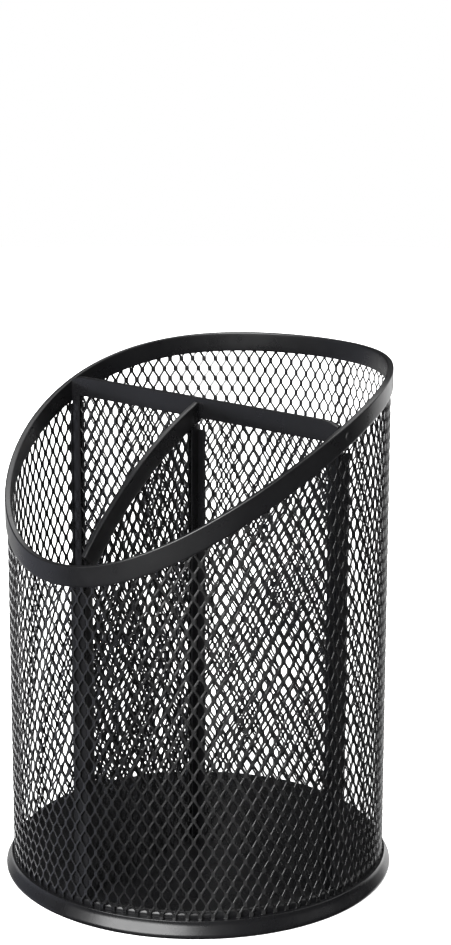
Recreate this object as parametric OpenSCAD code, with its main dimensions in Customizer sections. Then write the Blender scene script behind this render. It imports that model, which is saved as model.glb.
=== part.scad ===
// Round wire-mesh pen stand with a sloping rim and three compartments.
// Millimetres. +Z is up, the origin is the middle of the foot ring's underside.
// The rim is lowest at -Y and highest at +Y. The cross panel runs along X.

/* [Cup] */
// Outer radius of the mesh wall
cup_r = 50; // [40:1:65]
// Height of the rim's highest point
cup_h = 137.7; // [125:0.1:170]
// How far the rim falls from its highest to its lowest point
rim_drop = 45.3; // [25:0.1:50]
// Thickness of the mesh sheet
mesh_t = 0.6; // [0.5:0.1:0.9]

/* [Rim strip] */
// Depth of the folded strip, square to the edge
strip_d = 5.3; // [4.5:0.1:6]
// How far the rim strip stands out from the mesh
strip_out = 0.5; // [0.45:0.05:1.2]
// Steel thickness of the rim strip
strip_t = 0.4; // [0.4:0.05:0.7]

/* [Base pan] */
// Height of the raised floor
floor_z = 6.2; // [5.9:0.1:9]
// Steel thickness of the pan
pan_t = 0.8; // [0.6:0.1:1]
// How far the foot ring stands out from the mesh
foot_out = 2.06; // [2:0.02:2.6]

/* [Dividers] */
// Height of the cross panel's top below the rim's highest point
cross_down = 10.2; // [8:0.1:10.5]
// Direction of the half panel, from the cup's axis
half_angle = -80; // [-100:1:-80]
// Radius of the half panel's curved top edge
half_arc_r = 118; // [95:1:140]
// Width of a stile's leg along its panel
leg_w = 3; // [2.5:0.1:5]
// Width of a stile's weld tab
tab_w = 2.6; // [2.2:0.1:4]
// Thickness of the folded strips on the dividers
fold_w = 1.5; // [1.5:0.05:1.8]

/* [Hidden] */
$fn = 96;
black = [0.11, 0.11, 0.12];
satin = [0.16, 0.16, 0.17];
gap = 0.05;                       // slack between neighbouring solids
wall_in = cup_r - mesh_t;         // inner face of the mesh wall
rim_o = cup_r + strip_out;        // rim strip, outer face
rim_i = wall_in - 0.1 - strip_t;  // rim strip, inner face
rim_m = (rim_o + rim_i) / 2;
rim_half = (rim_o - rim_i) / 2;   // half the folded strip's thickness
bend_r = 0.35;                    // radius of the two bends along a strip's crest
panel_t = 0.6;                    // divider mesh thickness
fold_leg = 0.4;                   // sheet thickness of the divider strips
cross_top = cup_h - cross_down;
end_r = rim_i - 0.1;              // where the divider strips stop, inside the rim strip
web = 0.55;                       // folded end of a stile
mesh_end = end_r - web - 0.05;    // where the divider mesh stops
far = 400;

// Height of the rim's crest at angle a, and its slope along the wall
function crest(a) = cup_h - rim_drop * pow((1 - sin(a)) / 2, 2);
function slope(a) = rim_drop * (1 - sin(a)) / 2 * cos(a) / rim_m;
function strip_bottom(a) = crest(a) - strip_d * sqrt(1 + pow(slope(a), 2));
function arc(cx, cy, r, a0, a1, n) =
    [for (i = [0:n]) let (a = a0 + (a1 - a0) * i / n) [cx + r * cos(a), cy + r * sin(a)]];

// ---- Wall: a tube of mesh sheet, cut to the rim's swoop ----
module above_swoop(down) {
    n = 24;
    y1 = cup_r + 10;
    pts = [for (i = [0:n]) let (y = -y1 + 2 * y1 * i / n)
           [y, cup_h - rim_drop * pow((1 - y / cup_r) / 2, 2) - down]];
    rotate([90, 0, 90]) translate([0, 0, -far / 2]) linear_extrude(height = far)
        polygon(concat(pts, [[y1, far], [-y1, far]]));
}
module wall_mesh() {
    color(black) difference() {
        translate([0, 0, 4.5]) cylinder(r = cup_r, h = cup_h - 4.5);
        translate([0, 0, -1]) cylinder(r = wall_in, h = far);
        above_swoop(1.9);
    }
}

// ---- Rim: a U strip swept along the swoop, with two close bends at the crest ----
rim_n = 96;
rim_section = concat(
    [[rim_half, strip_d]],
    [for (i = [0:3]) [rim_half - bend_r + bend_r * cos(i * 30), bend_r - bend_r * sin(i * 30)]],
    [for (i = [3:6]) [bend_r - rim_half + bend_r * cos(i * 30), bend_r - bend_r * sin(i * 30)]],
    [[-rim_half, strip_d],
     [-rim_half + strip_t, strip_d], [-rim_half + strip_t, 0.6],
     [cup_r + 0.1 - rim_m, 0.6], [cup_r + 0.1 - rim_m, strip_d]]);
// A point of the section, d deep below the crest and q out from its middle
function rim_point(a, q, d) =
    let (m = slope(a), w = sqrt(1 + m * m), b = a + m * d / w / rim_m * 180 / PI)
    [(rim_m + q) * cos(b), (rim_m + q) * sin(b), crest(a) - d / w];
module rim_channel() {
    k = len(rim_section);
    pts = [for (i = [0:rim_n - 1]) for (s = rim_section) rim_point(360 * i / rim_n, s[0], s[1])];
    tri = [for (i = [0:rim_n - 1]) for (j = [0:k - 1])
           let (p = (i + 1) % rim_n, q = (j + 1) % k,
                a = i * k + j, b = i * k + q, c = p * k + q, d = p * k + j)
           each [[a, b, c], [a, c, d]]];
    color(satin) polyhedron(points = pts, faces = tri, convexity = 6);
}

// ---- Base: pressed pan, raised floor, flared foot ring ----
foot_r = cup_r + foot_out;
module base_pan() {
    side = wall_in - 0.1;
    color(satin) rotate_extrude() polygon(concat(
        [[0, floor_z]],
        arc(side - 1.2, floor_z - 1.2, 1.2, 90, 0, 6),
        [[side, 4.4], [cup_r + 0.45, 4.4]],
        arc(cup_r + 2.75, 4.2, 2.15, 180, 236, 7),
        arc(foot_r - 0.85, 0.95, 0.85, 42, -55, 8),
        [[foot_r - 0.5, 0], [foot_r - 1.7, 0],
         [foot_r - 1.85, 0.6], [foot_r - 1.75, 2.0], [side, 3.45], [side - pan_t, 3.6],
         [side - pan_t, floor_z - 1.3], [side - 1.3, floor_z - pan_t], [0, floor_z - pan_t]]));
}

// ---- Cross panel ----
// U section along +X: thickness w, depth d, top at z = 0
module u_section(w, d) {
    difference() {
        polygon(concat([[-w / 2, -d], [w / 2, -d]],
                       arc(w / 2 - bend_r, -bend_r, bend_r, 0, 90, 4),
                       arc(bend_r - w / 2, -bend_r, bend_r, 90, 180, 4)));
        translate([-w / 2 + fold_leg, -d - 1]) square([w - 2 * fold_leg, d + 1 - 0.6]);
    }
}
module cross_panel_mesh() {
    color(black) translate([-mesh_end, -panel_t / 2, floor_z + gap])
        cube([2 * mesh_end, panel_t, cross_top - 1.3 - floor_z - gap]);
}
// Outline of the channel from the front, with its ends turned down to the rim
module cross_outline() {
    e = end_r - 0.02;
    polygon(concat(
        [[-e, cross_top - strip_d - 1], [e, cross_top - strip_d - 1]],
        arc(e - 3.4, cross_top - 6, 6, 55, 90, 6),
        arc(-e + 3.4, cross_top - 6, 6, 90, 125, 6)));
}
module cross_panel_top_channel() {
    color(satin) intersection() {
        translate([-60, 0, cross_top]) rotate([90, 0, 90]) linear_extrude(height = 120)
            u_section(fold_w, strip_d);
        translate([0, 5, 0]) rotate([90, 0, 0]) linear_extrude(height = 10) cross_outline();
    }
}

// Folded leg of a stile from above, open towards the panel's middle
module leg_plan(outer) {
    difference() {
        translate([outer - leg_w, -fold_w / 2 + 0.05]) square([leg_w, fold_w - 0.1]);
        translate([outer - leg_w - 1, -panel_t / 2 - 0.05]) square([leg_w + 1 - web, panel_t + 0.1]);
    }
}
// Weld tab on the wall, from angle a0 to a1
module tab_plan(a0, a1) {
    intersection() {
        difference() {
            circle(r = wall_in - gap);
            circle(r = wall_in - gap - 0.6);
        }
        polygon([[0, 0], [80 * cos(a0), 80 * sin(a0)], [80 * cos(a1), 80 * sin(a1)]]);
    }
}
tab_angle = tab_w / wall_in * 180 / PI;
module cross_stile() {
    tab_top = min(strip_bottom(0), strip_bottom(-1.5)) - 0.4;
    union() {
        translate([0, 0, floor_z + gap]) linear_extrude(height = cross_top - strip_d - floor_z - 2 * gap)
            leg_plan(end_r);
        translate([0, 0, floor_z + gap]) linear_extrude(height = tab_top - floor_z - gap)
            union() {
                tab_plan(-1.1, 1.1 + tab_angle);
                translate([end_r - 0.3, -0.9]) square([0.6, 1.8]);
            }
    }
}
module cross_panel_right_stile() { color(satin) cross_stile(); }
module cross_panel_left_stile() { color(satin) mirror([1, 0, 0]) cross_stile(); }

// ---- Half panel, made along +X and then turned ----
half_in = [0.95, cross_top - 1.1];                // inner end of its top edge
half_out = [end_r, crest(half_angle) + 2.0];      // outer end of its top edge
half_ch = half_out - half_in;
half_c = (half_in + half_out) / 2
       + sqrt(half_arc_r * half_arc_r - (half_ch * half_ch) / 4)
       * [half_ch[1], -half_ch[0]] / norm(half_ch);  // centre of the curved top edge
// Solid round plate below the curved edge, down by d
module under_arc(d) {
    translate([half_c[0], 10, half_c[1]]) rotate([90, 0, 0]) cylinder(r = half_arc_r - d, h = 20, $fn = 180);
}
module half_panel_mesh() {
    color(black) rotate([0, 0, half_angle]) intersection() {
        translate([web + 0.75, -panel_t / 2, floor_z + gap])
            cube([mesh_end - web - 0.75, panel_t, cup_h]);
        under_arc(1.3);
    }
}
module half_panel_top_channel() {
    color(satin) rotate([0, 0, half_angle]) intersection() {
        translate([half_c[0], 0, half_c[1]]) rotate([90, 0, 0]) rotate_extrude($fn = 180)
            translate([half_arc_r, 0]) rotate([0, 0, -90]) u_section(fold_w, strip_d);
        translate([half_in[0], -5, half_out[1] - 20]) cube([end_r - 0.02 - half_in[0], 10, 80]);
    }
}
module half_panel_wall_stile() {
    s_low = half_c[1] + sqrt(pow(half_arc_r - strip_d, 2) - pow(end_r - half_c[0], 2));
    tab_top = min(strip_bottom(half_angle) - 1, s_low - 0.5);
    color(satin) rotate([0, 0, half_angle]) union() {
        intersection() {
            translate([0, 0, floor_z + gap]) linear_extrude(height = cup_h) leg_plan(end_r);
            under_arc(strip_d + gap);
        }
        translate([0, 0, floor_z + gap]) linear_extrude(height = tab_top - floor_z - gap)
            union() {
                tab_plan(-1.1 - tab_angle, 1.1);
                translate([end_r - 0.3, -0.9]) square([0.6, 1.8]);
            }
    }
}
module half_panel_inner_stile() {
    color(satin) union() {
        rotate([0, 0, half_angle]) intersection() {
            translate([0, 0, floor_z + gap]) linear_extrude(height = cup_h)
                translate([0.7, 0]) mirror([1, 0, 0]) leg_plan(0);
            under_arc(strip_d + gap);
        }
        translate([0.25, -0.95, floor_z + 0.5]) cube([tab_w + 0.3, 0.6, cross_top - strip_d - floor_z - 3.5]);
    }
}

wall_mesh();
rim_channel();
base_pan();
cross_panel_mesh();
cross_panel_top_channel();
cross_panel_left_stile();
cross_panel_right_stile();
half_panel_mesh();
half_panel_top_channel();
half_panel_wall_stile();
half_panel_inner_stile();
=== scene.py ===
import math
import bpy
import numpy as np
from mathutils import Matrix, Vector


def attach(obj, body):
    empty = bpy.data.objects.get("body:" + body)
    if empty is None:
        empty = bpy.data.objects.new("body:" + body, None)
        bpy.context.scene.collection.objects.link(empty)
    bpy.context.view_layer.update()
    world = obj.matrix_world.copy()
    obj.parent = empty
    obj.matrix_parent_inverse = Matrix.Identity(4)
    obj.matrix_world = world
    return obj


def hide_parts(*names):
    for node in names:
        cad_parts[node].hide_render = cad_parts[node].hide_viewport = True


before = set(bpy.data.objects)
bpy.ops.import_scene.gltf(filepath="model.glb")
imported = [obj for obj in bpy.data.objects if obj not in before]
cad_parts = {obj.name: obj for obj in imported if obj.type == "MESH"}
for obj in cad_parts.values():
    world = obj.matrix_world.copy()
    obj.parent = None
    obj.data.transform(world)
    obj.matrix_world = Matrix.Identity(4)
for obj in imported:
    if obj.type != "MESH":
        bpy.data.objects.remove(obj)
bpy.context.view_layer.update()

MM = 0.001
SC = bpy.context.scene

# ------------------------------------------------------------------ sizes, mm
CUP_R, CUP_H, DROP = 50.0, 137.7, 45.3
R_MESH = 49.7            # middle of the mesh wall
RIM_M, RIM_HALF = 49.7, 0.8
STRIP_D = 5.3
FLOOR_Z = 6.2
CROSS_TOP = 127.5
END_R = 48.8             # where the divider strips stop, inside the rim
MESH_END = 48.15
HALF_ANGLE = math.radians(-80.0)
LEG_W, TAB_W, FOLD_W = 3.0, 2.6, 1.5
BEND_R = 0.35            # the two close bends along a strip's crest
GAP = 0.05


def crest(a):
    return CUP_H - DROP * ((1 - np.sin(a)) / 2) ** 2


def slope(a):
    return DROP * (1 - np.sin(a)) / 2 * np.cos(a) / RIM_M


def rim_point(a, q, d):
    m = slope(a)
    w = np.sqrt(1 + m * m)
    b = a + m * d / w / RIM_M
    return np.stack([(RIM_M + q) * np.cos(b), (RIM_M + q) * np.sin(b), crest(a) - d / w], -1)


# ------------------------------------------------------------------ materials
def powder_coat(name, base, rough, speck, bump, spec=0.45):
    """Satin black powder coat: fine orange peel, slow changes of gloss, a trace of dust."""
    m = bpy.data.materials.new(name)
    m.use_nodes = True
    nt = m.node_tree
    nt.nodes.clear()
    N, L = nt.nodes.new, nt.links.new
    out = N("ShaderNodeOutputMaterial")
    bs = N("ShaderNodeBsdfPrincipled")
    L(bs.outputs[0], out.inputs[0])
    tc = N("ShaderNodeTexCoord")
    # slow variation of colour
    n1 = N("ShaderNodeTexNoise")
    n1.inputs["Scale"].default_value = 60.0
    n1.inputs["Detail"].default_value = 3.0
    L(tc.outputs["Object"], n1.inputs["Vector"])
    ramp = N("ShaderNodeValToRGB")
    lo = [c * 0.82 for c in base]
    hi = [c * 1.22 for c in base]
    ramp.color_ramp.elements[0].position = 0.35
    ramp.color_ramp.elements[1].position = 0.7
    ramp.color_ramp.elements[0].color = (*lo, 1)
    ramp.color_ramp.elements[1].color = (*hi, 1)
    L(n1.outputs["Fac"], ramp.inputs[0])
    # fine pale specks, as in powder coat
    n2 = N("ShaderNodeTexNoise")
    n2.inputs["Scale"].default_value = 2600.0
    n2.inputs["Detail"].default_value = 1.0
    L(tc.outputs["Object"], n2.inputs["Vector"])
    sp = N("ShaderNodeMapRange")
    sp.inputs["From Min"].default_value = 0.62
    sp.inputs["From Max"].default_value = 0.78
    sp.inputs["To Max"].default_value = speck
    L(n2.outputs["Fac"], sp.inputs["Value"])
    mix = N("ShaderNodeMixRGB")
    mix.inputs["Color2"].default_value = (base[0] * 3, base[1] * 3, base[2] * 3.1, 1)
    L(sp.outputs[0], mix.inputs["Fac"])
    L(ramp.outputs[0], mix.inputs["Color1"])
    L(mix.outputs[0], bs.inputs["Base Color"])
    # gloss: slow patches and a fine grain
    n3 = N("ShaderNodeTexNoise")
    n3.inputs["Scale"].default_value = 140.0
    n3.inputs["Detail"].default_value = 4.0
    L(tc.outputs["Object"], n3.inputs["Vector"])
    mr = N("ShaderNodeMapRange")
    mr.inputs["From Min"].default_value = 0.3
    mr.inputs["From Max"].default_value = 0.7
    mr.inputs["To Min"].default_value = rough - 0.05
    mr.inputs["To Max"].default_value = rough + 0.05
    L(n3.outputs["Fac"], mr.inputs["Value"])
    L(mr.outputs[0], bs.inputs["Roughness"])
    # orange peel
    n4 = N("ShaderNodeTexNoise")
    n4.inputs["Scale"].default_value = 1500.0
    n4.inputs["Detail"].default_value = 2.0
    L(tc.outputs["Object"], n4.inputs["Vector"])
    n5 = N("ShaderNodeTexNoise")
    n5.inputs["Scale"].default_value = 330.0
    n5.inputs["Detail"].default_value = 1.0
    L(tc.outputs["Object"], n5.inputs["Vector"])
    add = N("ShaderNodeMath")
    add.operation = "MULTIPLY_ADD"
    add.inputs[1].default_value = 1.8
    L(n5.outputs["Fac"], add.inputs[0])
    L(n4.outputs["Fac"], add.inputs[2])
    bp = N("ShaderNodeBump")
    bp.inputs["Strength"].default_value = bump
    bp.inputs["Distance"].default_value = 0.00002
    L(add.outputs[0], bp.inputs["Height"])
    L(bp.outputs[0], bs.inputs["Normal"])
    bs.inputs["Specular IOR Level"].default_value = spec
    return m


MAT = {
    "mesh_black": powder_coat("mesh_black_coat", (0.0045, 0.0045, 0.0048), 0.24, 0.25, 0.35, spec=0.9),
    "strip_black": powder_coat("strip_black_coat", (0.0045, 0.0045, 0.0050), 0.30, 0.30, 0.50, spec=0.46),
    "pan_black": powder_coat("pan_black_coat", (0.0045, 0.0045, 0.0050), 0.28, 0.30, 0.50, spec=0.34),
}


# ------------------------------------------------------------------ mesh helpers
def piece(name, verts, faces, slot, node, normals=None, sharp=None):
    """One object from millimetre points; normals are per face corner."""
    me = bpy.data.meshes.new(name)
    v = np.asarray(verts, float) * MM
    me.from_pydata(v.tolist(), [], [list(map(int, f)) for f in faces])
    me.polygons.foreach_set("use_smooth", [True] * len(me.polygons))
    me.materials.append(MAT[slot])
    me.update()
    if sharp is not None:
        me.set_sharp_from_angle(angle=math.radians(sharp))
    if normals is not None:
        me.normals_split_custom_set(np.asarray(normals, float).tolist())
    me.validate()
    o = bpy.data.objects.new(name, me)
    SC.collection.objects.link(o)
    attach(o, "root")
    if node:
        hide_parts(node)
    return o


def join_parts(parts):
    """Parts are (verts, faces); returns one list of each."""
    V, Fc, k = [], [], 0
    for v, f in parts:
        V.append(np.asarray(v, float))
        Fc += [[i + k for i in q] for q in f]
        k += len(v)
    return np.concatenate(V), Fc


def loft(rings, closed_path=False, cap=True):
    """Rings of the same number of points, each closed; quads between them."""
    rings = np.asarray(rings, float)
    n, k = rings.shape[:2]
    f = []
    for i in range(n if closed_path else n - 1):
        a, b = i * k, ((i + 1) % n) * k
        for j in range(k):
            j2 = (j + 1) % k
            f.append([a + j, a + j2, b + j2, b + j])
    v = rings.reshape(-1, 3)
    if cap and not closed_path:
        c = [rings[0].mean(0), rings[-1].mean(0)]
        f.append(list(range(k))[::-1])
        f.append([(n - 1) * k + j for j in range(k)])
    return v, f


def fix_outward(v, f):
    """Turns all faces round if the closed volume comes out negative."""
    vol = 0.0
    v = np.asarray(v)
    for q in f:
        a = v[q[0]]
        for i in range(1, len(q) - 1):
            vol += np.dot(a, np.cross(v[q[i]], v[q[i + 1]]))
    return f if vol > 0 else [q[::-1] for q in f]


# ------------------------------------------------------------------ expanded metal
MESH_W, MESH_H = 2 * math.pi * 50.0 / 96.65, 5.665   # one diamond, knot to knot
ALPHA = math.radians(-18.0)
RIB_W, RIB_T, RIB_C = 0.60, 0.28, 0.18
JOIN, BEND = 0.72, 0.52


def expanded(x0, x1, z_lo, z_hi, place, px, pz, shear=0.0, w=MESH_W, h=MESH_H):
    """Expanded-metal sheet between x0 and x1, z_lo(x) and z_hi(x), as connected zigzag ribbons.
    place(x, r, z) maps the sheet's own coordinates to space; r is outward."""
    W, T, C = RIB_W, RIB_T, RIB_C
    ca, sa = math.cos(ALPHA), math.sin(ALPHA)
    secR = np.array([[-W/2, T/2-C], [-W/2+C, T/2], [W/2-C, T/2], [W/2, T/2-C], [W/2, -T/2], [-W/2, -T/2]])
    secL = secR
    zR = np.array([BEND, BEND, JOIN, JOIN, JOIN, BEND])
    zL = np.array([JOIN, JOIN, BEND, BEND, BEND, JOIN])
    k0 = math.floor((x0 - px) / (w / 2)) - 1
    k1 = math.ceil((x1 - px) / (w / 2)) + 1

    def knot(k, j):     # centre of knot j of column k
        x = px + k * w / 2
        return x, pz + j * h + (h / 2 if k % 2 else 0.0) + shear * x

    # every ribbon as runs of rings; a ring is (6 points (x, r, z), kind, knot id)
    ribbons = {}
    for k in range(k0, k1):
        xa, xb = px + k * w / 2, px + (k + 1) * w / 2
        xm = (xa + xb) / 2
        zl, zh = z_lo(xm), z_hi(xm)
        apex = []
        j0 = math.floor((zl - pz) / h) - 2
        j1 = math.ceil((zh - pz) / h) + 2
        for j in range(j0, j1 + 1):
            apex.append((knot(k, j), -1, (k, j)))
            apex.append((knot(k + 1, j), 1, (k + 1, j)))
        apex.sort(key=lambda t: t[0][1])
        rings = []
        for (x, z), side, kid in apex:
            sec, dz = (secR, zR) if side > 0 else (secL, zL)
            cx, cr = x - side * W / 2 * ca, side * W / 2 * sa
            X = cx + sec[:, 0] * ca + sec[:, 1] * sa
            Rr = cr - sec[:, 0] * sa + sec[:, 1] * ca
            for s in (-1, 1):
                rings.append([np.stack([X, Rr, z + s * dz], -1), side, kid, s])
        ribbons[k] = (rings, zl, zh)

    # cut each ribbon, never inside a knot
    runs = []
    covered = {}
    for k, (rings, zl, zh) in ribbons.items():
        cur = []
        mid = [r[0][:, 2].mean() for r in rings]
        lo_i = next(i for i in range(len(mid)) if mid[i] > zl)
        hi_i = next(i for i in range(len(mid) - 1, -1, -1) if mid[i] < zh)

        def between(i, t):
            a, b = rings[i], rings[i + 1]
            return [a[0] * (1 - t) + b[0] * t, 0, None, 0]
        # lower end lies in segment lo_i-1 .. lo_i
        i = lo_i - 1
        if rings[i][3] == -1 and rings[i + 1][3] == 1:   # inside a knot: go down into the strand
            i -= 1
            t = 0.85
        else:
            t = (zl - mid[i]) / (mid[i + 1] - mid[i])
        first = between(i, min(max(t, 0.05), 0.95))
        start = i + 1
        i = hi_i
        if rings[i][3] == -1 and rings[i + 1][3] == 1:
            i += 1
            t = 0.15
        else:
            t = (zh - mid[i]) / (mid[i + 1] - mid[i])
        last = between(i, min(max(t, 0.05), 0.95))
        seq = [first] + rings[start:i + 1] + [last]
        # cut at the sheet's upright edges
        parts = []
        part = []
        for a, b in zip(seq[:-1], seq[1:]):
            xa_, xb_ = a[0][:, 0].mean(), b[0][:, 0].mean()
            ina, inb = x0 <= xa_ <= x1, x0 <= xb_ <= x1
            if ina and not part:
                part = [a]
            if ina and inb:
                part.append(b)
            elif ina != inb:
                lim = x0 if min(xa_, xb_) < x0 else x1
                t = (lim - xa_) / (xb_ - xa_)
                c = [a[0] * (1 - t) + b[0] * t, 0, None, 0]
                if ina:
                    part.append(c)
                    parts.append(part)
                    part = []
                else:
                    part = [c, b]
        if len(part) > 1:
            parts.append(part)
        for p in parts:
            runs.append((k, p))
            for a, b in zip(p[:-1], p[1:]):
                if a[2] is not None and a[2] == b[2]:
                    covered.setdefault(a[2], set()).add(k)

    V, Q, NR = [], [], []
    base = 0
    for k, p in runs:
        R = np.array([r[0] for r in p])                # n, 6, 3
        n = len(R)
        P3 = place(R[..., 0], R[..., 1], R[..., 2])
        d = np.roll(P3, -1, axis=1) - P3               # along the section
        # side normals of each segment
        seg = []
        for i in range(n - 1):
            up = (P3[i + 1] - P3[i])
            up2 = np.roll(up, -1, axis=0)
            nn = np.cross(d[i] + d[i + 1], up + up2)
            nn /= np.linalg.norm(nn, axis=1)[:, None] + 1e-12
            seg.append(nn)
        seg = np.array(seg)
        skip = np.zeros((n - 1, 6), bool)
        for i in range(n - 1):
            a, b = p[i], p[i + 1]
            if a[2] is not None and a[2] == b[2] and len(covered[a[2]]) == 2:
                skip[i, 3 if a[1] > 0 else 5] = True
        nr = np.zeros((n, 6, 3))
        for i in range(n):
            acc = np.zeros((6, 3))
            for s in (i - 1, i):
                if 0 <= s < n - 1:
                    acc += seg[s] * (~skip[s])[:, None]
            nr[i] = acc / (np.linalg.norm(acc, axis=1)[:, None] + 1e-12)
        def own(i, s, t):       # the segment's own normal keeps each strand's face distinct
            if s in (0, 2) and not skip[i, 3 if s == 2 else 5]:
                return seg[i][(s + (1 if t else -1)) % 6]
            return seg[i][1] if s in (0, 2) else seg[i][s]

        for i in range(n - 1):
            for s in range(6):
                if skip[i, s]:
                    continue
                s2 = (s + 1) % 6
                Q.append((base + i * 6 + s, base + i * 6 + s2, base + (i + 1) * 6 + s2, base + (i + 1) * 6 + s))
                if s in (0, 2):     # rounded ridge: takes its neighbours' normals
                    pr, nx = (s - 1) % 6, (s + 1) % 6
                    q = [nr[i][pr], nr[i][nx], nr[i + 1][nx], nr[i + 1][pr]]
                    if skip[i, 3 if s == 2 else 5]:      # flush inside a knot
                        q = [seg[i][1]] * 4
                else:
                    q = [nr[i][s], nr[i][s], nr[i + 1][s], nr[i + 1][s]]
                q = [0.35 * x + 0.65 * own(i, s, t) for x, t in zip(q, (0, 1, 1, 0))]
                q = [x / (np.linalg.norm(x) + 1e-12) for x in q]
                q = [seg[i][s] if np.dot(x, seg[i][s]) < 0.2 else x for x in q]
                NR += q
        for i, rev in ((0, True), (n - 1, False)):
            c = [base + i * 6 + s for s in range(6)]
            if rev:
                c = c[::-1]
            # outward end normal
            e = P3[0].mean(0) - P3[1].mean(0) if rev else P3[-1].mean(0) - P3[-2].mean(0)
            e = e / np.linalg.norm(e)
            Q.append(tuple(c))
            NR += [e] * 6
        V.append(R.reshape(-1, 3))
        base += n * 6
    V = np.concatenate(V)
    key = np.round(V * 2e4).astype(np.int64)
    _, first, inv = np.unique(key, axis=0, return_index=True, return_inverse=True)
    inv = inv.reshape(-1)
    V3 = place(V[first, 0], V[first, 1], V[first, 2])
    faces, norms, c = [], [], 0
    for q in Q:
        g = [int(inv[i]) for i in q]
        nn = NR[c:c + len(q)]
        c += len(q)
        if len(set(g)) == len(g):
            faces.append(g)
            norms += nn
    # faces point outward where the first long face agrees with its normal
    a = V3[faces[0]]
    fn = np.cross(a[1] - a[0], a[2] - a[0])
    if np.dot(fn, norms[0]) < 0:
        out, k = [], 0
        for i, q in enumerate(faces):
            faces[i] = q[::-1]
            out += norms[k:k + len(q)][::-1]
            k += len(q)
        norms = out
    return V3, faces, norms


# ---- wall: one sheet rolled to a tube, with its ends lapped near the high side
LAP = math.radians(82.0)
LAP_HALF = math.radians(3.6)
wall_x0 = R_MESH * (LAP - LAP_HALF - 2 * math.pi)
wall_x1 = R_MESH * (LAP + LAP_HALF)


def wall_place(x, r, z):
    a = x / R_MESH
    e = 1.2 * LAP_HALF
    ramp0 = np.clip((wall_x0 / R_MESH + 2 * LAP_HALF + e - a) / e, 0, 1)
    ramp1 = np.clip((a - (wall_x1 / R_MESH - 2 * LAP_HALF - e)) / e, 0, 1)
    sm = lambda t: t * t * (3 - 2 * t)
    rad = R_MESH + r - 0.42 * sm(ramp0) + 0.34 * sm(ramp1)
    return np.stack([rad * np.cos(a), rad * np.sin(a), z], -1)


def wall_hi(x):
    return float(crest(x / R_MESH)) - 1.9


KNOT_T, KNOT_Z = math.radians(-45.58) * 50.0, 83.1   # a knot of the wall, near the middle of the near side
v, f, nrm = expanded(wall_x0, wall_x1, lambda x: 4.45, wall_hi, wall_place,
                     (KNOT_T / 50.0) * R_MESH - 0.50, KNOT_Z - 1.5, w=MESH_W * R_MESH / 50.0)
piece("wall_mesh_expanded", v, f, "mesh_black", "wall_mesh", normals=nrm)
print("wall mesh faces", len(f), "triangles", sum(len(q) - 2 for q in f))

# ---- cross panel
v, f, nrm = expanded(-MESH_END, MESH_END, lambda x: FLOOR_Z + GAP + 0.02, lambda x: CROSS_TOP - 1.5,
                     lambda x, r, z: np.stack([x, -r * 0.92, z], -1), 0.4, 60.0)
piece("cross_panel_expanded", v, f, "mesh_black", "cross_panel_mesh", normals=nrm)

# ---- half panel: s runs out from the axis
HS = np.array([math.cos(HALF_ANGLE), math.sin(HALF_ANGLE)])
HT = np.array([-HS[1], HS[0]])
half_in = np.array([0.95, CROSS_TOP - 1.1])
half_out = np.array([END_R, float(crest(HALF_ANGLE)) + 2.0])
hc = half_out - half_in
HALF_R = 118.0
half_c = (half_in + half_out) / 2 + math.sqrt(HALF_R ** 2 - (hc @ hc) / 4) * np.array([hc[1], -hc[0]]) / np.linalg.norm(hc)


def half_top(s, d=0.0):
    return half_c[1] + math.sqrt((HALF_R - d) ** 2 - (s - half_c[0]) ** 2)


def half_place(s, r, z):
    s, r, z = np.broadcast_arrays(s, r, z)
    return np.stack([s * HS[0] - r * HT[0], s * HS[1] - r * HT[1], z], -1)


v, f, nrm = expanded(1.35, MESH_END, lambda x: FLOOR_Z + GAP + 0.02, lambda s: half_top(s, 1.5),
                     lambda x, r, z: half_place(x, r * 0.92, z), 0.9, 61.0)
piece("half_panel_expanded", v, f, "mesh_black", "half_panel_mesh", normals=nrm)


# ------------------------------------------------------------------ folded strips
def arc2(cx, cy, r, a0, a1, n):
    a = np.radians(np.linspace(a0, a1, n + 1))
    return [(cx + r * math.cos(t), cy + r * math.sin(t)) for t in a]


# ---- rim: (q outward, d down); both lips are rounded and lean on the mesh
def crest_bends(h, n=6):
    """The crest from the outer face to the inner one: two close bends and a nearly flat top."""
    c = BEND_R
    t = np.radians(np.linspace(0, 90, n + 1))
    out = [(h - c + c * math.cos(x), c - c * math.sin(x)) for x in t]
    flat = [((h - c) * k, -0.0) for k in (0.85, 0.4, -0.4, -0.85)]
    return out + flat + [(-q, d) for q, d in out[::-1]]


def rim_section():
    h, o, i = RIM_HALF, 0.42, -0.42
    face = [4.75, 4.45, 4.15, 3.85, 3.55, 3.25, 2.95, 2.65, 2.35, 2.05, 1.75, 1.45, 1.15, 0.85, 0.55]
    p = [(h, d) for d in face]
    p += crest_bends(h)
    p += [(-h, 1.0), (-h, 2.3), (-h, 3.4), (-h, 4.75)]
    p += [(-h + 0.04, 5.05), (-h + 0.12, 5.24), (-h + 0.21, 5.28), (-h + 0.31, 5.2), (i, 5.0)]
    p += [(i, 4.2), (i, 1.5), (-0.3, 0.9), (0.0, 0.66), (0.3, 0.9), (o, 1.5), (o, 4.2), (o, 5.0)]
    p += [(h - 0.31, 5.2), (h - 0.21, 5.28), (h - 0.12, 5.24), (h - 0.04, 5.05)]
    return p


WELDS = [0.4, 181.2]     # directions of the spot welds that hold the dividers
WELD_R, WELD_DEEP, WELD_D = 1.15, 0.30, 2.75


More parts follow.
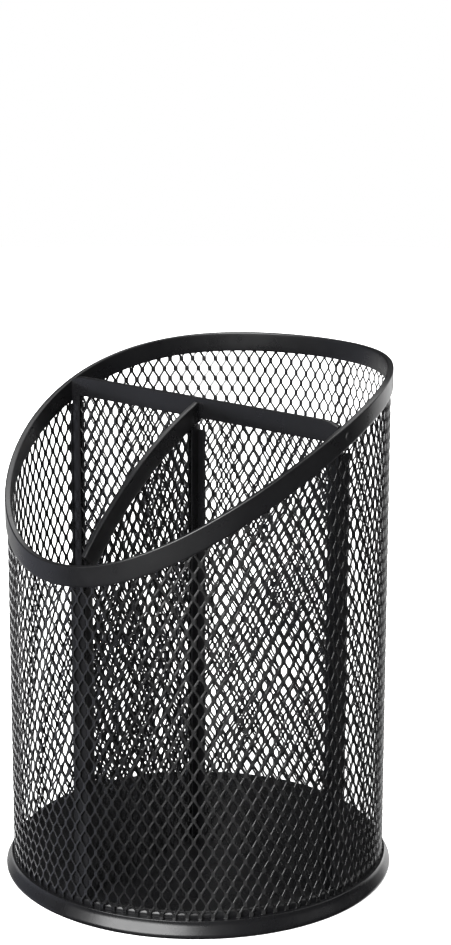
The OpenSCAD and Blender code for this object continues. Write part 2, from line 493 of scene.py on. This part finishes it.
BUTT = math.radians(-121.0)     # where the two ends of the rim strip meet
sec = rim_section()
nst = 300
gap_a = 0.10 / RIM_M
steps = [BUTT + gap_a / 2 + (2 * math.pi - gap_a) * i / nst for i in range(nst + 1)]
welds = [BUTT + (math.radians(wd) - BUTT) % (2 * math.pi) for wd in WELDS]
for wd in welds:
    steps = [a for a in steps if abs(a - wd) > 1.8 / RIM_M] + [wd + t / RIM_M for t in np.linspace(-1.75, 1.75, 21)]
rings = []
for a in sorted(steps):
    ring = []
    for q, d in sec:
        if q > RIM_HALF - 0.01:      # pressed dimples of the welds, on the outer face
            rr = min(math.hypot((a - wd) * RIM_M, d - WELD_D) for wd in welds) / WELD_R
            if rr < 1:
                q = q - WELD_DEEP * (1 - rr * rr) ** 1.5
        ring.append(rim_point(a, q, d))
    rings.append(ring)
rings = np.array(rings)
v, f = loft(rings)
f = fix_outward(v, f)
piece("rim_channel_folded", v, f, "strip_black", "rim_channel", sharp=40)


# ---- straight and curved U strips of the dividers
def u_section(w, d, t=0.4):
    """(across, down): two close bends at the crest, two legs, open below."""
    h = w / 2
    k = h - t
    p = [(h, d - 0.35), (h, 3.0), (h, 1.0)]
    p += crest_bends(h)
    p += [(-h, 1.0), (-h, 3.0), (-h, d - 0.35)]
    p += [(-h + 0.04, d - 0.12), (-h + 0.13, d), (-h + t - 0.12, d), (-k, d - 0.15)]
    p += [(-k, 1.2)] + [(k * math.cos(a), 1.0 - k * math.sin(a)) for a in np.radians([150, 90, 30])] + [(k, 1.2)]
    p += [(k, d - 0.15), (h - t + 0.12, d), (h - 0.13, d), (h - 0.04, d - 0.12)]
    return p


def cross_z(x):
    e = abs(x)
    t = max(0.0, (e - (END_R - 5.2)) / 5.2)
    return CROSS_TOP - 1.05 * t ** 2.2


xs = np.concatenate([np.linspace(-END_R, -END_R + 6, 13), np.linspace(-END_R + 6, END_R - 6, 40)[1:-1],
                     np.linspace(END_R - 6, END_R, 13)])
sec = u_section(FOLD_W, STRIP_D)
rings = []
for x in xs:
    zt = cross_z(x)
    rings.append([(x, q, zt - d) for q, d in sec])
v, f = loft(rings)
piece("cross_channel_folded", v, fix_outward(v, f), "strip_black", "cross_panel_top_channel", sharp=40)

rings = []
for s in np.linspace(half_in[0], END_R - 0.02, 60):
    # square to the curved edge
    z = half_top(s)
    nx, nz = (s - half_c[0]) / HALF_R, (z - half_c[1]) / HALF_R
    ring = []
    for q, d in sec:
        ss, zz = s - nx * d, z - nz * d
        ring.append(half_place(ss, q, zz))
    rings.append(ring)
rings = np.array(rings)
v, f = loft(rings)
piece("half_channel_folded", v, fix_outward(v, f), "strip_black", "half_panel_top_channel", sharp=40)


# ---- stiles: a folded leg round the panel's edge and a weld tab on the wall
def prism(outline, z0, z1, steps=1):
    """Closed upright prism; z1 may be a function of the point."""
    o = np.asarray(outline, float)
    n = len(o)
    top = np.array([z1(x, y) if callable(z1) else z1 for x, y in o])
    rings = []
    for i in range(steps + 1):
        t = i / steps
        rings.append(np.stack([o[:, 0], o[:, 1], z0 * (1 - t) + top * t], -1))
    return loft(rings)


def rounded(poly, r=0.18, n=3):
    """Rounds the corners of a closed outline."""
    p = [np.array(q, float) for q in poly]
    out = []
    for i in range(len(p)):
        a, b, c = p[i - 1], p[i], p[(i + 1) % len(p)]
        u, w = a - b, c - b
        lu, lw = np.linalg.norm(u), np.linalg.norm(w)
        k = min(r, 0.45 * lu, 0.45 * lw)
        p0, p1 = b + u / lu * k, b + w / lw * k
        for j in range(n + 1):
            t = j / n
            out.append((1 - t) ** 2 * p0 + 2 * t * (1 - t) * b + t * t * p1)
    return np.array(out)


def leg_outline(end):
    h = FOLD_W / 2 - 0.05
    return rounded([(end - LEG_W, -h), (end, -h), (end, h), (end - LEG_W, h),
                    (end - LEG_W, 0.34), (end - 0.55, 0.34), (end - 0.55, -0.34), (end - LEG_W, -0.34)], 0.2)


def tab_outline(a0, a1, r0, r1, n=8):
    outer = [(r1 * math.cos(a), r1 * math.sin(a)) for a in np.linspace(a0, a1, n)]
    inner = [(r0 * math.cos(a), r0 * math.sin(a)) for a in np.linspace(a1, a0, n)]
    return np.array(outer + inner)


def turn(v, ang, mirror=False):
    v = np.array(v, float)
    if mirror:
        v[:, 0] = -v[:, 0]
    c, s = math.cos(ang), math.sin(ang)
    return np.stack([v[:, 0] * c - v[:, 1] * s, v[:, 0] * s + v[:, 1] * c, v[:, 2]], -1)


Z0 = FLOOR_Z + GAP
WALL_IN = 49.35
TAB_A = TAB_W / WALL_IN
tab_top = float(min(crest(0.0), crest(math.radians(-1.5)))) - STRIP_D - 1.0
for name, node, mir in (("cross_left_stile_folded", "cross_panel_left_stile", True),
                        ("cross_right_stile_folded", "cross_panel_right_stile", False)):
    leg = prism(leg_outline(END_R), Z0, CROSS_TOP - STRIP_D - GAP, 6)
    tab = prism(tab_outline(math.radians(-1.1), math.radians(1.1) + TAB_A, WALL_IN - 0.62, WALL_IN - 0.02), Z0, tab_top, 6)
    v, f = join_parts([leg, tab])
    v = turn(v, 0.0, mir)
    f = fix_outward(v, f)
    piece(name, v, f, "strip_black", node, sharp=40)

s_low = half_top(END_R, STRIP_D)
leg = prism(leg_outline(END_R), Z0, lambda x, y: half_top(x, STRIP_D + GAP), 6)
tab = prism(tab_outline(-math.radians(1.1) - TAB_A, math.radians(1.1), WALL_IN - 0.62, WALL_IN - 0.02), Z0,
            min(float(crest(HALF_ANGLE)) - STRIP_D - 1.0, s_low - 0.5), 6)
v, f = join_parts([leg, tab])
v = turn(v, HALF_ANGLE)
piece("half_wall_stile_folded", v, fix_outward(v, f), "strip_black", "half_panel_wall_stile", sharp=40)

o = leg_outline(0.0)
o = np.stack([0.7 - o[:, 0], o[:, 1]], -1)[::-1]
leg = prism(o, Z0, lambda x, y: half_top(x, STRIP_D + GAP), 6)
leg = (turn(leg[0], HALF_ANGLE), leg[1])
tab = prism(rounded([(0.25, -0.95), (TAB_W + 0.55, -0.95), (TAB_W + 0.55, -0.37), (0.25, -0.37)], 0.2), Z0 + 0.45, CROSS_TOP - STRIP_D - 3, 4)
v, f = join_parts([(leg[0], fix_outward(*leg)), (tab[0], fix_outward(*tab))])
piece("half_inner_stile_folded", v, f, "strip_black", "half_panel_inner_stile", sharp=40)


# ------------------------------------------------------------------ base pan
def pan_profile():
    foot = CUP_R + 2.03
    side = 49.3
    p = [(0.0, FLOOR_Z)]
    p += [(r, FLOOR_Z) for r in (8.0, 16.0, 24.0, 32.0, 40.0)]
    p += arc2(side - 1.2, FLOOR_Z - 1.2, 1.2, 90, 0, 10)
    p += [(side, 4.8), (side, 4.42), (side + 0.1, 4.36), (50.3, 4.36)]
    p += arc2(50.42, 4.2, 0.18, 90, 5, 5)
    p += arc2(CUP_R + 2.75, 4.2, 2.15, 182, 210.2, 10)      # skirt, straight, then the rolled bead
    p += [(50.0 + 1.2, 2.59), (50.0 + 1.55, 1.99)]
    p += arc2(foot - 0.85, 0.95, 0.85, 30.2, -62, 20)
    p += [(foot - 0.6, 0.02), (foot - 0.75, 0.0), (foot - 1.6, 0.0), (foot - 1.72, 0.06), (foot - 1.85, 0.6),
          (foot - 1.75, 2.0), (side, 3.45), (side - 0.8, 3.6),
          (side - 0.8, FLOOR_Z - 1.3), (side - 1.3, FLOOR_Z - 0.8)]
    p += [(r, FLOOR_Z - 0.8) for r in (40.0, 24.0, 8.0, 0.0)]
    return p


def lathe(prof, n=240):
    """Revolves a profile that starts and ends on the axis."""
    a = np.linspace(0, 2 * math.pi, n, endpoint=False)
    v = [(0.0, 0.0, prof[0][1])]
    for r, z in prof[1:-1]:
        v += [(r * math.cos(t), r * math.sin(t), z) for t in a]
    v.append((0.0, 0.0, prof[-1][1]))
    k = len(prof) - 2
    f = []
    for j in range(n):
        j2 = (j + 1) % n
        f.append([0, 1 + j, 1 + j2])
        for i in range(k - 1):
            A, B = 1 + i * n, 1 + (i + 1) * n
            f.append([A + j, B + j, B + j2, A + j2])
        A = 1 + (k - 1) * n
        f.append([A + j, len(v) - 1, A + j2])
    return np.array(v), f


v, f = lathe(pan_profile())
piece("base_pan_pressed", v, fix_outward(v, f), "pan_black", "base_pan", sharp=40)


# ------------------------------------------------------------------ stage, light, camera
def stage_floor():
    n, R = 96, 1.6
    v = [(0, 0, 0)] + [(R * math.cos(2 * math.pi * i / n), R * math.sin(2 * math.pi * i / n), 0) for i in range(n)]
    f = [[0, 1 + i, 1 + (i + 1) % n] for i in range(n)]
    me = bpy.data.meshes.new("floor")
    me.from_pydata(v, [], f)
    m = bpy.data.materials.new("floor_paper")
    m.use_nodes = True
    b = m.node_tree.nodes["Principled BSDF"]
    nz = m.node_tree.nodes.new("ShaderNodeTexNoise")
    nz.inputs["Scale"].default_value = 5.0
    rp = m.node_tree.nodes.new("ShaderNodeValToRGB")
    rp.color_ramp.elements[0].color = (0.86, 0.86, 0.86, 1)
    rp.color_ramp.elements[1].color = (0.89, 0.89, 0.89, 1)
    m.node_tree.links.new(nz.outputs["Fac"], rp.inputs[0])
    m.node_tree.links.new(rp.outputs[0], b.inputs["Base Color"])
    b.inputs["Roughness"].default_value = 0.9
    b.inputs["Emission Color"].default_value = (1, 1, 1, 1)
    b.inputs["Emission Strength"].default_value = 0.86
    b.inputs["Specular IOR Level"].default_value = 0.1
    me.materials.append(m)
    o = bpy.data.objects.new("floor", me)
    o.visible_glossy = False
    SC.collection.objects.link(o)


stage_floor()

SC.view_settings.view_transform = "Standard"
SC.view_settings.look = "None"
CAM_AZ = -44.8
world = bpy.data.worlds.new("studio")
SC.world = world
world.use_nodes = True
wt = world.node_tree
wt.nodes.clear()


def unit(az, el):
    a, e = math.radians(CAM_AZ + az), math.radians(el)
    return (math.cos(e) * math.cos(a), math.cos(e) * math.sin(a), math.sin(e))


def studio_world():
    """White paper behind the object; softboxes of the studio all round for light and gloss."""
    N, L = wt.nodes.new, wt.links.new
    tc = N("ShaderNodeTexCoord")
    total = None
    for az, el, inner, outer, power, tint in STUDIO:
        dot = N("ShaderNodeVectorMath")
        dot.operation = "DOT_PRODUCT"
        dot.inputs[1].default_value = unit(az, el)
        L(tc.outputs["Generated"], dot.inputs[0])
        mr = N("ShaderNodeMapRange")
        mr.interpolation_type = "SMOOTHSTEP"
        mr.inputs["From Min"].default_value = math.cos(math.radians(outer))
        mr.inputs["From Max"].default_value = math.cos(math.radians(inner))
        L(dot.outputs["Value"], mr.inputs["Value"])
        sc = N("ShaderNodeVectorMath")
        sc.operation = "SCALE"
        sc.inputs[0].default_value = tuple(power * c for c in tint)
        L(mr.outputs[0], sc.inputs["Scale"])
        if total is None:
            total = N("ShaderNodeVectorMath")
            total.operation = "ADD"
            total.inputs[1].default_value = (AMBIENT,) * 3
            L(sc.outputs[0], total.inputs[0])
        else:
            ad = N("ShaderNodeVectorMath")
            ad.operation = "ADD"
            L(total.outputs[0], ad.inputs[0])
            L(sc.outputs[0], ad.inputs[1])
            total = ad
    lit = N("ShaderNodeBackground")
    L(total.outputs[0], lit.inputs["Color"])
    paper = N("ShaderNodeBackground")
    paper.inputs["Color"].default_value = (1, 1, 1, 1)
    lp = N("ShaderNodeLightPath")
    mix = N("ShaderNodeMixShader")
    L(lp.outputs["Is Camera Ray"], mix.inputs[0])
    L(lit.outputs[0], mix.inputs[1])
    L(paper.outputs[0], mix.inputs[2])
    out = N("ShaderNodeOutputWorld")
    L(mix.outputs[0], out.inputs["Surface"])


# direction round from the camera (right is plus), height, inner and outer half angle, strength, tint
AMBIENT = 0.02
WHITE, BLUE = (1.0, 1.0, 1.0), (0.90, 0.94, 1.12)
STUDIO = [
    (143, -18, 10, 27, 1.8, WHITE),
    (120, 36, 8, 24, 3.0, WHITE),
    (86, 44, 6, 22, 2.8, WHITE),
    (-152, -18, 10, 26, 0.85, WHITE),
    (-108, -8, 12, 34, 0.44, BLUE),
    (-20, -18, 16, 44, 0.32, WHITE),
    (-36, 34, 11, 32, 16.0, WHITE),
    (180, 64, 8, 26, 4.0, WHITE),
]
studio_world()

cam_d = bpy.data.cameras.new("photo_camera")
cam_d.lens = 76.19
cam_d.sensor_width = 36.0
cam_d.clip_start = 0.01
cam_d.clip_end = 50.0
cam = bpy.data.objects.new("photo_camera", cam_d)
cam.location = (0.362856, -0.360688, 0.219615)
right, up, back = Vector((0.714467, 0.699665, 0.002409)), Vector((-0.151533, 0.151376, 0.976792)), Vector((0.683062, -0.698251, 0.214176))
cam.rotation_euler = Matrix((right, up, back)).transposed().to_euler()
SC.collection.objects.link(cam)
SC.camera = cam

bpy.context.view_layer.update()
